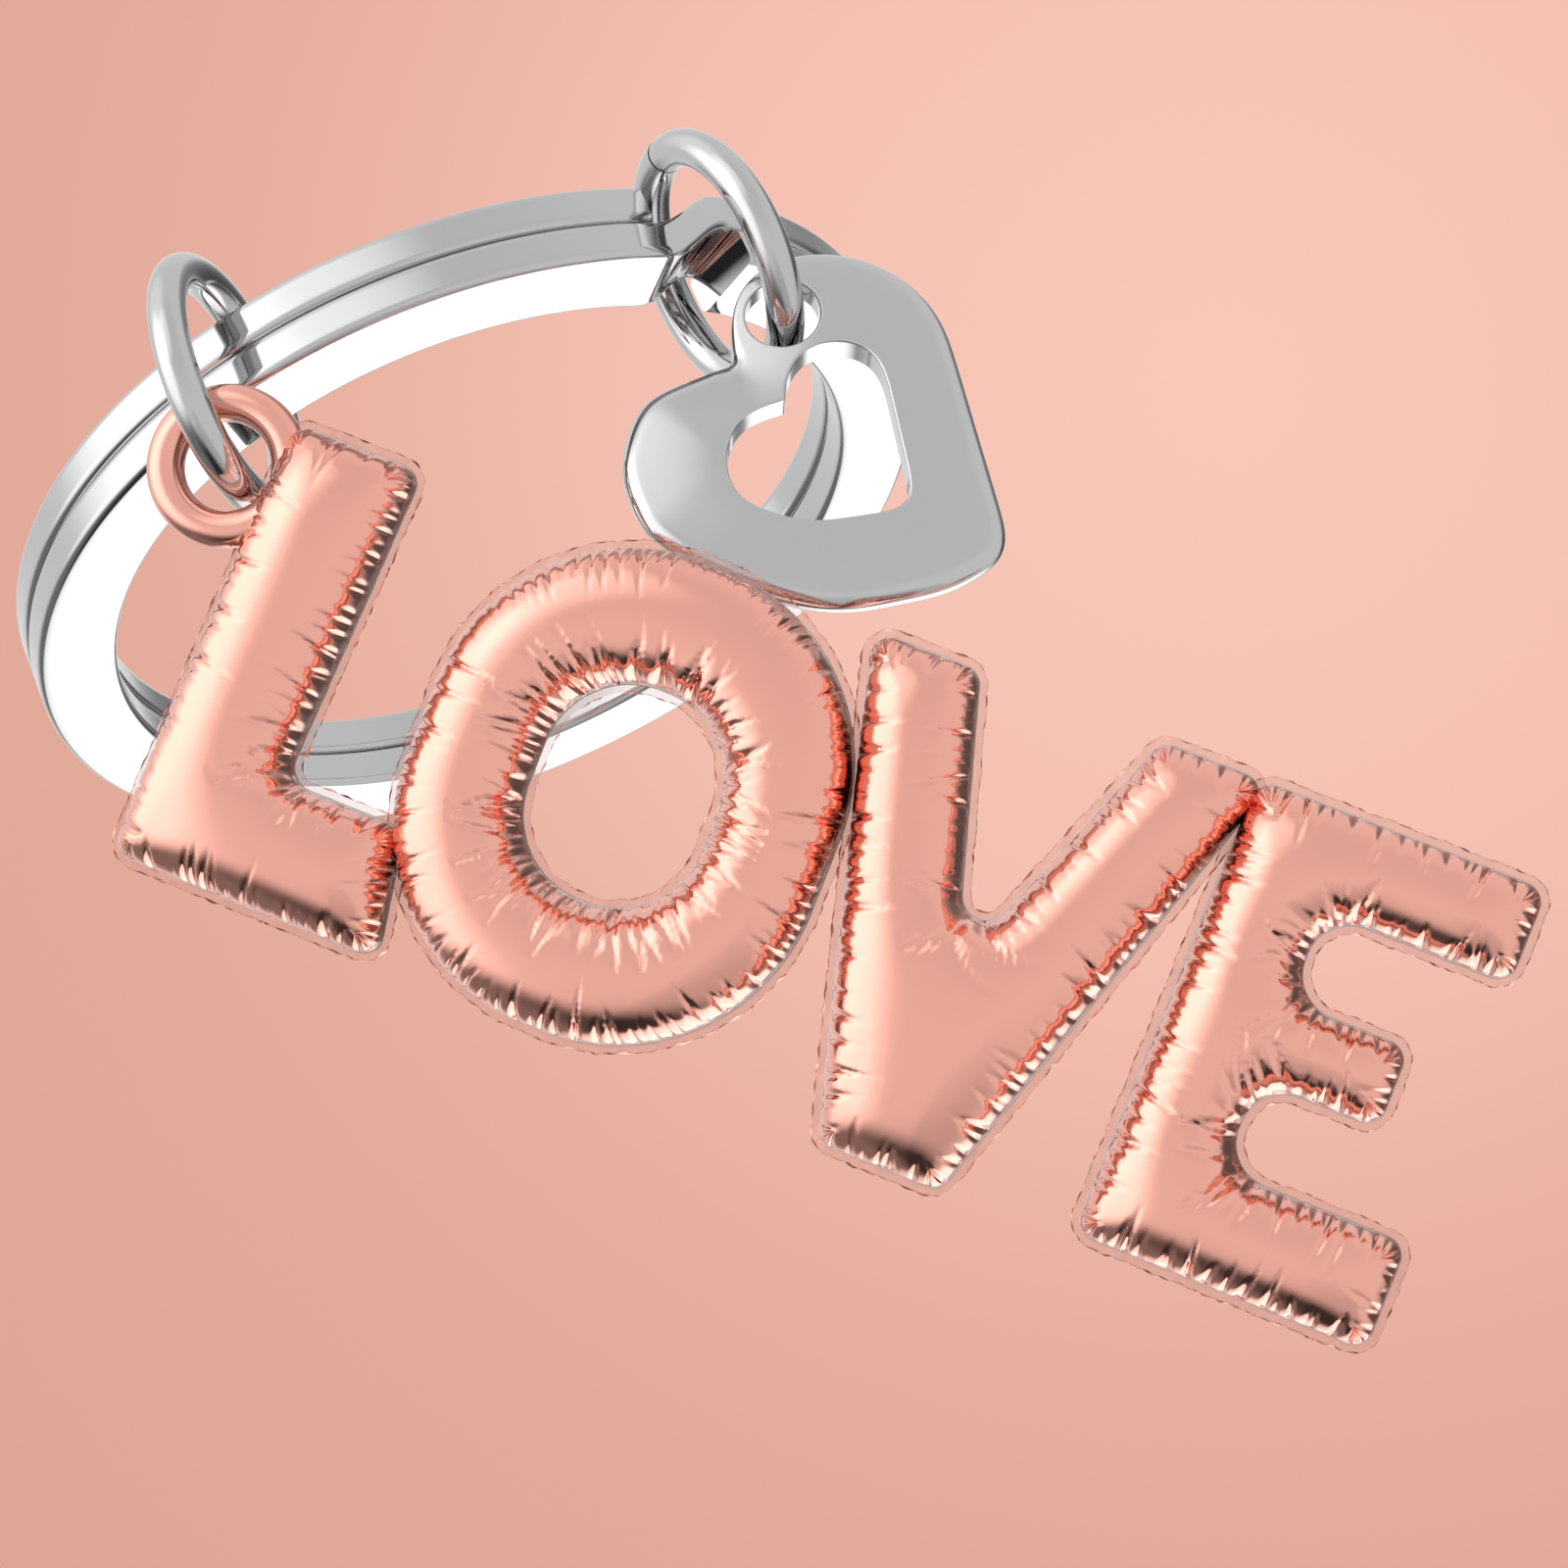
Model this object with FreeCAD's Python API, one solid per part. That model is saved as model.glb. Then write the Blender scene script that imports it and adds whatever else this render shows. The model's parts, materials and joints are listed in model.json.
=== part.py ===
"""Keyring: flat-wire split ring, two jump rings, LOVE charm of puffed balloon letters, heart tag.

The origin is the middle of the split ring.  The charm chain hangs towards -Z and the letters face -Y.
Flat pieces are drawn in their own plane (x along, y up, z out of the front) and then placed.
"""
import FreeCAD, Part
import math
import os

V = FreeCAD.Vector

# split ring: two coils of flat wire, joined by one sloping stretch
RING_OUTER_RADIUS = 16.0
BAND_WIDTH = 2.76
COIL_HEIGHT = 1.45
COIL_GAP = 0.03
BAND_BEVEL = 0.28
CROSSOVER_START = -2.5
CROSSOVER_END = 9.5
CROSSOVER_STEPS = 6
RING_FACES = V(-0.454, -0.454, -0.767)
RING_ZERO = V(0.792, -0.600, -0.113)

# jump rings: round wire, closed on a fine slit
WIRE_RADIUS = 0.62
LINK_RADIUS = 3.95
SLIT_DEGREES = 1.5
CHARM_LINK_AT = 66.3
CHARM_LINK_FACES = V(0.799, -0.230, -0.555)
CHARM_LINK_HANGS = V(0.02, -0.28, -0.1)
HEART_LINK_AT = 0.0
HEART_LINK_FACES = V(-0.779, -0.423, 0.463)
HEART_LINK_HANGS = V(0.068, -0.773, -0.894)

# puffed letters: each dome is a stack of outlines, drawn in and raised step by step
LETTER_HEIGHT = 15.4
SEAM_WIDTH = 0.35
SEAM_THICKNESS = 0.40
PUFF_FRONT = 2.45
PUFF_BACK = 1.8
DOME_STEPS = [(0.0, 0.28), (0.22, 0.60), (0.50, 0.80), (0.85, 0.93)]
PILLOW_CORNER = 0.0714 * LETTER_HEIGHT
PILLOW_CORNER_LEFT = 0.15
SEAM_CORNER = 0.9
CREASE = 0.5
L_WIDTH = 9.7
L_STEM = 4.85
L_FOOT = 0.299 * LETTER_HEIGHT
L_FOOT_SLANT = 0.85
L_LEAN = 0.45
L_TOP_DROP = 0.3
O_HALF_WIDTH = 7.0
O_INTO_L = 2.05
O_MIDDLE = L_WIDTH - O_INTO_L + O_HALF_WIDTH
O_MIDDLE_HEIGHT = 0.505 * LETTER_HEIGHT
O_HALF_HEIGHT = 0.513 * LETTER_HEIGHT
O_HOLE_HALF_WIDTH = 2.64
O_HOLE_HALF_HEIGHT = 0.208 * LETTER_HEIGHT
OVAL_BEND = 0.96
V_INTO_O = 2.05
V_LEFT = O_MIDDLE + O_HALF_WIDTH - V_INTO_O
V_TOP_WIDTH = 13.75
V_FOOT_IN = 4.35
V_FOOT_LEFT = V_LEFT + V_FOOT_IN
V_FOOT_WIDTH = 4.4
V_FOOT_DROP = 0.1
V_ARM = 4.1
V_NOTCH_HEIGHT = 0.487 * LETTER_HEIGHT
TOP_RISE = 0.2
E_INTO_V = 1.25
E_LEFT = V_LEFT + V_TOP_WIDTH - E_INTO_V
E_LEAN = 0.2
E_FOOT_RISE = 0.3
E_STEM = 4.0
E_ARM_LENGTH = 9.9
E_MIDDLE_LENGTH = 7.85
E_SLOT = 0.1526 * LETTER_HEIGHT
E_SLOT_END = 0.0714 * LETTER_HEIGHT
E_LOWER_SLOT = 0.276 * LETTER_HEIGHT
E_UPPER_SLOT = 0.63 * LETTER_HEIGHT

# cast loop of the charm, placed from the L's lower left corner
LOOP_RADIUS = 2.0
LOOP_WIRE_RADIUS = 0.60
LOOP_FROM_LETTER = V(-0.87, 0.8318 * LETTER_HEIGHT, 0)
CHARM_HANGS_FROM = V(-0.551, -0.651, -0.522)
CHARM_SHIFT = V(-0.2, 0.2, 0)
CHARM_READS = V(0.231, -0.139, -0.963)
CHARM_UP = V(0.972, 0.0, 0.233)

# heart tag
HEART_THICKNESS = 1.2
HEART_EDGE = 0.42
CUTOUT_EDGE = 0.12
HOLE_RADIUS = 1.2
HOLE_EDGE = 0.12
HEART_HANGS_FROM = V(-0.02, -0.55, -0.835)
HEART_SHIFT = V(-0.1, 0.12, 0)
HEART_RIGHT = V(0.573, 0.031, -0.819)
HEART_UP = V(0.758, 0.360, 0.545)
# outlines from the notch clockwise round to it again, as (x, y, radius) from the hole
HEART_OUTLINE = [
    (-1.60, -1.62, 0.25), (-1.78, 2.42, 2.70), (4.62, 2.42, 4.20), (7.20, -8.22, 1.10),
    (5.20, -9.47, 3.00), (1.60, -10.28, 5.00), (-2.00, -9.35, 5.00), (-4.50, -7.45, 2.20),
    (-5.28, -5.30, 2.20), (-4.60, -2.85, 1.60)]
CUTOUT_OUTLINE = [
    (0.05, -3.12, 0.15), (0.22, -1.12, 1.35), (3.00, -0.95, 1.25), (4.12, -6.85, 0.40),
    (0.70, -7.42, 2.00), (-1.50, -6.65, 0.70), (-1.95, -5.30, 1.00), (-1.50, -3.70, 0.70)]


def placed(shape, at, x_way, y_way):
    """The shape with its own x and y turned to the given ways, moved to a point."""
    out = x_way.cross(y_way)
    up = out.cross(x_way)
    turn = FreeCAD.Rotation(x_way, up, out, "XYZ")
    moved = shape.copy()
    moved.Placement = FreeCAD.Placement(at, turn) * shape.Placement
    return moved


def unit(vector):
    return V(vector).normalize()


def in_plane(vector, normal):
    """Unit vector along the part of a vector that lies across the normal."""
    across = unit(normal)
    return unit(vector - across * vector.dot(across))


def ring_point(degrees):
    """Centre of the split ring's band at an angle, with the band's running direction there."""
    normal = unit(RING_FACES)
    zero = in_plane(RING_ZERO, normal)
    side = normal.cross(zero)
    angle = math.radians(degrees)
    outward = zero * math.cos(angle) + side * math.sin(angle)
    along = side * math.cos(angle) - zero * math.sin(angle)
    return outward * (RING_OUTER_RADIUS - BAND_WIDTH / 2), along


def link_point(centre, faces, way):
    """Point of a jump ring's centre line towards a way, with the wire's direction there."""
    outward = in_plane(way, faces)
    return centre + outward * LINK_RADIUS, unit(faces).cross(outward)


def link_centre(degrees, faces, hangs):
    band = ring_point(degrees)[0]
    return band + in_plane(hangs, faces) * hangs.Length


CHARM_LINK_CENTRE = link_centre(CHARM_LINK_AT, CHARM_LINK_FACES, CHARM_LINK_HANGS)
HEART_LINK_CENTRE = link_centre(HEART_LINK_AT, HEART_LINK_FACES, HEART_LINK_HANGS)


def band_section(degrees, rise):
    """Bevelled section of the flat wire, standing at an angle round the ring."""
    outer = RING_OUTER_RADIUS
    inner = outer - BAND_WIDTH
    half = COIL_HEIGHT / 2
    bevel = BAND_BEVEL
    corners = [
        (inner + bevel, -half), (outer - bevel, -half), (outer, bevel - half), (outer, half - bevel),
        (outer - bevel, half), (inner + bevel, half), (inner, half - bevel), (inner, bevel - half)]
    angle = math.radians(degrees)
    points = [V(r * math.cos(angle), r * math.sin(angle), z + rise) for r, z in corners]
    return Part.makePolygon(points + points[:1])


def split_ring():
    layer = (COIL_HEIGHT + COIL_GAP) / 2
    span = CROSSOVER_END - CROSSOVER_START
    coils = []
    for rise in (-layer, layer):
        face = Part.Face(band_section(CROSSOVER_END, rise))
        coils.append(face.revolve(V(0, 0, 0), V(0, 0, 1), 360 - span))
    sections = []
    for step in range(CROSSOVER_STEPS + 1):
        share = step / CROSSOVER_STEPS
        rise = -layer * math.cos(math.pi * share)
        sections.append(band_section(CROSSOVER_START + span * share, rise))
    slope = Part.makeLoft(sections, True, False)
    ring = coils[0].fuse([slope, coils[1]])
    normal = unit(RING_FACES)
    zero = in_plane(RING_ZERO, normal)
    return placed(ring, V(0, 0, 0), zero, normal.cross(zero))


def jump_ring(centre, faces, slit_way):
    """Open loop of round wire whose fine slit lies towards a way."""
    normal = unit(faces)
    start = in_plane(slit_way, normal)
    wire = Part.makeTorus(LINK_RADIUS, WIRE_RADIUS, V(0, 0, 0), V(0, 0, 1), 0, 360, 360 - SLIT_DEGREES)
    return placed(wire, centre, start, normal.cross(start))


def rounded(corners):
    """Closed wire through corners (x, y, radius), each rounded by its own radius."""
    count = len(corners)
    bends = []
    for i in range(count):
        here = V(corners[i][0], corners[i][1], 0)
        before = V(corners[i - 1][0], corners[i - 1][1], 0)
        after = V(corners[(i + 1) % count][0], corners[(i + 1) % count][1], 0)
        radius = corners[i][2]
        back = unit(before - here)
        ahead = unit(after - here)
        half = back.getAngle(ahead) / 2
        reach = radius / math.tan(half)
        middle = here + unit(back + ahead) * (radius / math.sin(half) - radius)
        bends.append((here + back * reach, middle, here + ahead * reach))
    edges = []
    for i in range(count):
        start, middle, end = bends[i]
        edges.append(Part.Arc(start, middle, end).toShape())
        edges.append(Part.makeLine(end, bends[(i + 1) % count][0]))
    return Part.Wire(edges)


def drawn_in(corners, inset):
    """The corners with every side moved inwards; outer bends tighten and inner bends widen."""
    count = len(corners)
    moved = []
    for i in range(count):
        before = V(corners[i - 1][0], corners[i - 1][1], 0)
        here = V(corners[i][0], corners[i][1], 0)
        after = V(corners[(i + 1) % count][0], corners[(i + 1) % count][1], 0)
        first = unit(here - before)
        second = unit(after - here)
        left = V(-first.y - second.y, first.x + second.x, 0)
        cosine = first.dot(second)
        point = here + left * (inset / (1 + cosine))
        convex = first.x * second.y > first.y * second.x
        moved.append((point.x, point.y, drawn_in_bend(corners[i][2], inset, convex)))
    return moved


def drawn_in_bend(radius, inset, convex):
    if not convex:
        return radius + inset
    beyond = max(inset - SEAM_WIDTH, 0)
    return max(PILLOW_CORNER - beyond, PILLOW_CORNER_LEFT)


def oval(half_width, half_height):
    """Corners of a closed upright oval of four large bends about the O's middle."""
    bend = half_width * OVAL_BEND
    left, right = O_MIDDLE - half_width, O_MIDDLE + half_width
    low, high = O_MIDDLE_HEIGHT - half_height, O_MIDDLE_HEIGHT + half_height
    return [(left, low, bend), (right, low, bend), (right, high, bend), (left, high, bend)]


def rim_edges(solid, heights):
    """Edges that lie flat at one of the heights."""
    found = []
    for edge in solid.Edges:
        box = edge.BoundBox
        for height in heights:
            if abs(box.ZMin - height) < 1e-4 and abs(box.ZMax - height) < 1e-4:
                found.append(edge)
    return found


def dome_levels():
    """Insets and heights of the outlines from the back of a letter to its front."""
    back = [(SEAM_WIDTH + inset, -PUFF_BACK * share) for inset, share in reversed(DOME_STEPS)]
    front = [(SEAM_WIDTH + inset, PUFF_FRONT * share) for inset, share in DOME_STEPS]
    return back + front


def stacked(outline_at):
    """Solid through one outline for each level; outline_at gives the corners at an inset."""
    wires = []
    for inset, height in dome_levels():
        wire = rounded(outline_at(inset))
        wire.translate(V(0, 0, height))
        wires.append(wire)
    return Part.makeLoft(wires, True, True)


def skirt(wire):
    """Thin seam that stands out all round the middle of a letter."""
    return slab(wire, SEAM_THICKNESS)


def stroke_letter(corners):
    """Puffed letter from its outer corners (x, y, radius); None is an ordinary outer corner."""
    bends = [(x, y, SEAM_CORNER if bend is None else bend) for x, y, bend in corners]
    dome = stacked(lambda inset: drawn_in(bends, inset))
    return dome.fuse(skirt(rounded(bends)))


def letter_l():
    top = LETTER_HEIGHT - L_TOP_DROP
    return stroke_letter([
        (0, 0, None), (L_WIDTH, 0, None), (L_WIDTH - L_FOOT_SLANT, L_FOOT, None),
        (L_STEM, L_FOOT, CREASE), (L_STEM + L_LEAN, top, None), (L_LEAN, top, None)])


def letter_o():
    outer = stacked(lambda inset: oval(O_HALF_WIDTH - inset, O_HALF_HEIGHT - inset))
    hole = stacked(lambda inset: oval(O_HOLE_HALF_WIDTH + inset, O_HOLE_HALF_HEIGHT + inset))
    dome = outer.cut(hole)
    rim = skirt(rounded(oval(O_HALF_WIDTH, O_HALF_HEIGHT)))
    return dome.fuse(rim.cut(skirt(rounded(oval(O_HOLE_HALF_WIDTH, O_HOLE_HALF_HEIGHT)))))


def letter_v():
    top = LETTER_HEIGHT + TOP_RISE
    right = V_LEFT + V_TOP_WIDTH
    notch = V_FOOT_LEFT + V_FOOT_WIDTH / 2
    return stroke_letter([
        (V_FOOT_LEFT, -V_FOOT_DROP, None), (V_FOOT_LEFT + V_FOOT_WIDTH, -V_FOOT_DROP, None),
        (right, top, None), (right - V_ARM, top, None), (notch, V_NOTCH_HEIGHT, CREASE),
        (V_LEFT + V_ARM, top, None), (V_LEFT, top, None)])


def letter_e():
    top = LETTER_HEIGHT + TOP_RISE
    stem = E_LEFT + E_STEM
    tip = E_LEFT + E_ARM_LENGTH
    middle = E_LEFT + E_MIDDLE_LENGTH
    low, high = E_LOWER_SLOT, E_UPPER_SLOT
    return stroke_letter([
        (E_LEFT, E_FOOT_RISE, None), (tip, E_FOOT_RISE, None), (tip, low, None),
        (stem, low, E_SLOT_END), (stem, low + E_SLOT, E_SLOT_END),
        (middle, low + E_SLOT, None), (middle, high, None),
        (stem, high, E_SLOT_END), (stem, high + E_SLOT, E_SLOT_END),
        (tip, high + E_SLOT, None), (tip, top, None), (E_LEFT + E_LEAN, top, None)])


def charm_loop():
    return Part.makeTorus(LOOP_RADIUS, LOOP_WIRE_RADIUS, LOOP_FROM_LETTER, V(0, 0, 1))


def charm():
    """Every piece of the charm, each trimmed by the ones before it so that they meet face to face."""
    drawn = {
        "letter_l": letter_l(),
        "letter_o": letter_o(),
        "letter_v": letter_v(),
        "letter_e": letter_e(),
        "charm_loop": charm_loop(),
    }
    loop = link_point(CHARM_LINK_CENTRE, CHARM_LINK_FACES, CHARM_HANGS_FROM)[0]
    done = {}
    for name, shape in drawn.items():
        for other in done.values():
            shape = shape.cut(other)
        done[name] = shape
    for name, shape in done.items():
        shape.translate(CHARM_SHIFT - LOOP_FROM_LETTER)
        done[name] = placed(Part.makeCompound(shape.Solids), loop, CHARM_READS, CHARM_UP)
    return done


def slab(wire, thickness):
    face = Part.Face(wire)
    face.translate(V(0, 0, -thickness / 2))
    return face.extrude(V(0, 0, thickness))


def heart_tag():
    faces = (-HEART_THICKNESS / 2, HEART_THICKNESS / 2)
    plate = slab(rounded(HEART_OUTLINE), HEART_THICKNESS)
    plate = plate.makeFillet(HEART_EDGE, rim_edges(plate, faces))
    window = slab(rounded(CUTOUT_OUTLINE), HEART_THICKNESS)
    plate = eased_cut(plate, window, CUTOUT_EDGE)
    hole = Part.makeCylinder(HOLE_RADIUS, HEART_THICKNESS, V(0, 0, faces[0]))
    plate = eased_cut(plate, hole, HOLE_EDGE)
    plate.translate(HEART_SHIFT)
    at = link_point(HEART_LINK_CENTRE, HEART_LINK_FACES, HEART_HANGS_FROM)[0]
    return placed(plate, at, HEART_RIGHT, HEART_UP)


def eased_cut(plate, tool, radius):
    """The plate less the tool, with the new rims rounded."""
    low, high = tool.BoundBox.ZMin, tool.BoundBox.ZMax
    old = [edge.CenterOfMass for edge in rim_edges(plate, (low, high))]
    cut = plate.cut(tool)
    rims = []
    for edge in rim_edges(cut, (low, high)):
        if all(edge.CenterOfMass.distanceToPoint(point) > 1e-3 for point in old):
            rims.append(edge)
    return cut.makeFillet(radius, rims)


def build():
    parts = {"split_ring": split_ring()}
    parts["charm_jump_ring"] = jump_ring(CHARM_LINK_CENTRE, CHARM_LINK_FACES, V(0.3, 0.8, 0.4))
    parts["heart_jump_ring"] = jump_ring(HEART_LINK_CENTRE, HEART_LINK_FACES, V(0.9, 0.2, 0.9))
    parts.update(charm())
    parts["heart_tag"] = heart_tag()
    return parts


os.makedirs("parts", exist_ok=True)
for name, shape in build().items():
    if len(shape.Solids) == 1:
        shape = shape.Solids[0]
    shape.exportStep("parts/" + name + ".step")
    print(name, len(shape.Solids), "solid", round(shape.Volume, 2), "mm3", shape.isValid())
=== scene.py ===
"""A keyring: split ring, two jump rings, a charm of puffed balloon letters and a polished heart tag.

Lengths are in millimetres until mesh_piece puts them into a mesh in metres.  Flat pieces are worked out
in their own plane (x along, y up, z out of the front) and then set into place by a Setting.
"""
import json

import bpy
import numpy as np
from mathutils import Matrix, Vector
from mathutils.geometry import delaunay_2d_cdt


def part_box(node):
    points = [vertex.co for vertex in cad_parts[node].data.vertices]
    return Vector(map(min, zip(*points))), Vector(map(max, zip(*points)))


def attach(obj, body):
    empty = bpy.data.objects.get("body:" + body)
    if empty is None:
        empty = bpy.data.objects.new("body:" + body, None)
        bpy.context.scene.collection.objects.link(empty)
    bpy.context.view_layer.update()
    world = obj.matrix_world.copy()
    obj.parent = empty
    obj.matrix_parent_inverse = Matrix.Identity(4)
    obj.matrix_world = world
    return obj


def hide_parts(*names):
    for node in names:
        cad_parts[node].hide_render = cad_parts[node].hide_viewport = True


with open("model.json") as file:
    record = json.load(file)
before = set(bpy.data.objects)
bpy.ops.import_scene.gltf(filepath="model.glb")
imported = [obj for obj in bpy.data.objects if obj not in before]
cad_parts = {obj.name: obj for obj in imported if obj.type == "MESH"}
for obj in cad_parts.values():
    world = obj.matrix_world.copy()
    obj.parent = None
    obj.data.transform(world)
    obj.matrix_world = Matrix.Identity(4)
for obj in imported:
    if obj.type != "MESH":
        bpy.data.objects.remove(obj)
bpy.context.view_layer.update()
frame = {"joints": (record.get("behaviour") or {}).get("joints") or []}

MM = 0.001

# split ring
RING_OUTER_RADIUS = 16.0
BAND_WIDTH = 2.76
COIL_HEIGHT = 1.45
COIL_GAP = 0.03
BAND_BEVEL = 0.28
CROSSOVER = (-2.5, 9.5)
RING_FACES = (-0.454, -0.454, -0.767)
RING_ZERO = (0.792, -0.600, -0.113)

# jump rings and cast loop
WIRE_RADIUS = 0.62
LINK_RADIUS = 3.95
SLIT_DEGREES = 1.5
CHARM_LINK_FACES = (0.799, -0.230, -0.555)
CHARM_LINK_SLIT = (0.3, 0.8, 0.4)
HEART_LINK_FACES = (-0.779, -0.423, 0.463)
HEART_LINK_SLIT = (0.9, 0.2, 0.9)
LOOP_RADIUS = 2.0
LOOP_WIRE_RADIUS = 0.60
WIRE_STEPS = 240
WIRE_AROUND = 40
CRISP_FROM = 50

# letter charm
CHARM_READS = (0.231, -0.139, -0.963)
CHARM_UP = (0.972, 0.0, 0.233)
LOOP_FROM_LETTER = np.array([-0.87, 12.81])
CHARM_SHIFT = np.array([-0.2, 0.2])
LETTER_HEIGHT = 15.4
TOP_RISE = 0.2
SEAM_CORNER = 0.9
CREASE_BEND = 0.5
L_WIDTH, L_STEM, L_FOOT = 9.7, 4.85, 4.6
L_FOOT_RIGHT = 8.85
L_LEAN, L_TOP_RIGHT = 0.45, 5.3
L_TOP_DROP = 0.3
O_MIDDLE, O_MIDDLE_HEIGHT = 14.65, 7.78
O_HALF_WIDTH, O_HALF_HEIGHT = 7.0, 7.9
O_HOLE_HALF_WIDTH, O_HOLE_HALF_HEIGHT = 2.64, 3.2
OVAL_BEND = 0.96
V_LEFT, V_LEFT_INNER = 19.6, 23.7
V_RIGHT_INNER, V_RIGHT = 29.25, 33.35
V_FOOT_LEFT, V_FOOT_RIGHT, V_FOOT_DROP = 23.95, 28.35, 0.1
V_NOTCH, V_NOTCH_HEIGHT = 26.15, 7.5
E_LEFT, E_STEM, E_MIDDLE_TIP, E_TIP = 32.1, 36.1, 39.95, 42.0
E_LEAN, E_FOOT_RISE = 0.2, 0.3
E_LOWER_SLOT, E_UPPER_SLOT, E_SLOT, E_SLOT_END = 4.25, 9.7, 2.35, 1.1

# blown-up film: how high and how steep at its rim, and the step of the grid it is solved on
PUFF_FRONT = 2.45
PUFF_BACK = 1.8
PUFF_SHARE = 1.10
PUFF_POWER = 0.43
FILM_FULL = 3.0
FILM_STEP = 0.09
FILM_ROUNDS = 1100
FILM_OVERSTEP = 1.85
FILM_REACH = 0.15

# letters' seam and mesh
PILLOW_INSET = 0.26
HALF_SEAM = 0.04
HALF_SKIRT = 0.045
SKIRT_REACHES = (0.06, 0.35, 0.8, 0.97)
SKIRT_WAVES = ((0.045, 0.07, 1.7), (0.03, 0.08, 0.93), (0.015, 0.04, 0.55))
OUTLINE_STEP = 0.05
CAP_STEP = 0.085
BAND_DEPTH = 0.55
BAND_ROWS = 14
BAND_CROWDING = 1.7
# rows of a band by material: 1 is the clear film, 0 the rose gold of its edge, 2 painted shade, a greyer and
# # darker metal on the creased band beside the seam that stands for the shade and reflection of its puckers
FINISH_AND_SHADE_ROWS = (
    (1, range(BAND_ROWS, BAND_ROWS + 2 * len(SKIRT_REACHES))),
    (0, (17, 18)),
    (2, (9, 10, 11, 12, 13, 22, 23, 24, 25, 26)))

# puckers: steps along the seam and ranges of their sizes, all round it and at the inner bends
PUCKER_STEP, BEND_STEP = 0.42, 0.21
PUCKER_SHIFT, BEND_SHIFT = 0.48, 0.07
PUCKER_DEPTH, BEND_DEPTH = (0.08, 0.40), (0.16, 0.38)
PUCKER_WIDTH, BEND_WIDTH = (0.07, 0.15), (0.07, 0.11)
BEND_LENGTH = (1.0, 3.0)
PUCKER_SLANT = 0.25
# where the closer ones gather: places of the inner bends, and how far to either side along the seam
L_BEND, L_BEND_SPREAD = (5.0, 4.7), 0.55
V_BEND, V_BEND_SPREAD = (26.2, 7.6), 0.8
E_BEND_HEIGHTS, E_BEND_SPREAD = (5.4, 10.9), 1.5
FOLD_FADE = 1.4
FOLD_SHARE, FOLD_SHARE_NEAR, FOLD_NEAR = 0.50, 0.75, 0.7
FOLD_FULL_AT = 0.9
LEAST_PUFF = 0.02

# heart tag
HEART_RIGHT = (0.573, 0.031, -0.819)
HEART_UP = (0.758, 0.360, 0.545)
HEART_SHIFT = np.array([-0.1, 0.12])
HEART_THICKNESS = 1.2
HEART_EDGE = 0.50
CUTOUT_EDGE = 0.09
EDGE_RUN_IN = 1.25
EDGE_WEB, EDGE_WEB_SHARE = 0.2, 0.7
HEART_CAP_STEP = 0.2
SOFT_PASSES = 180
NOTCH_KEPT = 0.5
HOLE_RADIUS = 1.2
CROWN_DROP = 0.42
CROWN_REACH = 3.2

# camera: right, up and back ways, and its place
CAMERA_AT = (-1.107, -145.884, -14.009)
CAMERA_RIGHT = (0.5736, 0.0, -0.8192)
CAMERA_UP = (0.8192, 0.0, 0.5736)
CAMERA_BACK = (0.0, -1.0, 0.0)
CAMERA_LENS = 95.92

draw = np.random.default_rng(7)


def unit(vector):
    vector = np.asarray(vector, float)
    return vector / np.linalg.norm(vector)


class Setting:
    """Place and turn of a flat piece: its own x, y and z ways and the point its origin goes to."""

    def __init__(self, at, x_way, y_way):
        self.at = np.asarray(at, float)
        self.x = unit(x_way)
        self.z = unit(np.cross(self.x, y_way))
        self.y = np.cross(self.z, self.x)

    def place(self, points):
        """Own x, y and z multiplied along the three ways, plus the place."""
        ways = np.stack([self.x, self.y, self.z])
        return self.at + points @ ways


def joint_place(name):
    for joint in frame["joints"]:
        if joint["name"] == name:
            return np.array(joint["pos_m"]) / MM
    raise ValueError(name)


def across(way, normal):
    """Unit vector along the part of a way that lies across the normal."""
    normal = unit(normal)
    return unit(np.asarray(way, float) - normal * np.dot(way, normal))


def ring_setting(at, faces, zero):
    start = across(zero, faces)
    return Setting(at, start, np.cross(unit(faces), start))


def mesh_piece(name, points, faces, material, body, nodes, trim=None, sharp=None):
    """A smooth closed mesh made from points in millimetres, riding on a body in place of its nodes.

    trim is a list of further materials, painted shade among them, and the runs of faces (first, last, number)
    that take them; sharp is the angle in degrees from which an edge is left crisp.
    """
    mesh = bpy.data.meshes.new(name)
    mesh.from_pydata((np.asarray(points) * MM).tolist(), [], faces)
    mesh.shade_smooth()
    if sharp:
        mesh.set_sharp_from_angle(angle=np.radians(sharp))
    else:
        mesh.normals_split_custom_set_from_vertices(wide_normals(points, faces))
    mesh.materials.append(material)
    if trim:
        slots = np.zeros(len(faces), np.int32)
        for extra_material in trim[0]:
            mesh.materials.append(extra_material)
        for first, last, number in trim[1]:
            slots[first:last] = number
        mesh.polygons.foreach_set("material_index", slots)
    piece = bpy.data.objects.new(name, mesh)
    bpy.context.scene.collection.objects.link(piece)
    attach(piece, body)
    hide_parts(*nodes)
    return piece


def wide_normals(points, faces):
    """Normal of each point: sum of its faces' own normals, each as long as twice the face's area."""
    normals = np.zeros((len(points), 3))
    for sides in (3, 4):
        part = np.array([face for face in faces if len(face) == sides], int).reshape(-1, sides)
        first = points[part[:, 2]] - points[part[:, 0]]
        second = points[part[:, sides - 1]] - points[part[:, 1]]
        if sides == 3:
            second = points[part[:, 2]] - points[part[:, 1]]
        turn = np.cross(first, second)
        for corner in range(sides):
            np.add.at(normals, part[:, corner], turn)
    normals /= np.maximum(np.linalg.norm(normals, axis=1), 1e-12)[:, None]
    return normals.tolist()


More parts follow.
